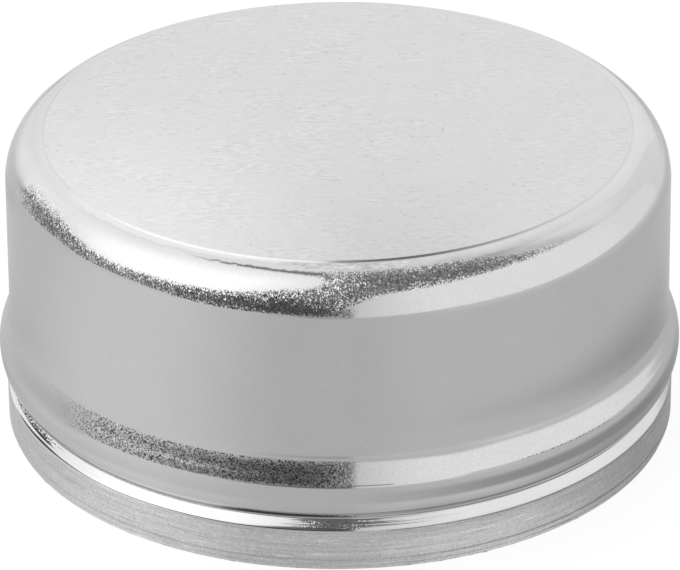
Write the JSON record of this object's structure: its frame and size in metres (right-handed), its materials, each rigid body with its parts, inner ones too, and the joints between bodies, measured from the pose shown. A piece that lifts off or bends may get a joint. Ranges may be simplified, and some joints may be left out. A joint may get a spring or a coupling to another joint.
{
  "type": "hub grease cap",
  "caption": "Round drawn sheet-steel cap with a flat face, rolled bead and press-fit skirt, which closes a wheel hub and keeps the bearing grease in.",
  "frame": {"origin": "on the cap's axis, level with the rim that it stands on", "axes": "+Z along the cap's axis, from the open rim to the flat face; the cap is round, so X and Y are free"},
  "size_m": [0.0566, 0.0566, 0.0258],
  "materials": {
    "bright_steel": "bright plated drawn sheet, satin, with a fine orange-peel grain where the sheet is stretched"
  },
  "bodies": {
    "root": {"grease_cap": "bright_steel"}
  },
  "joints": []
}
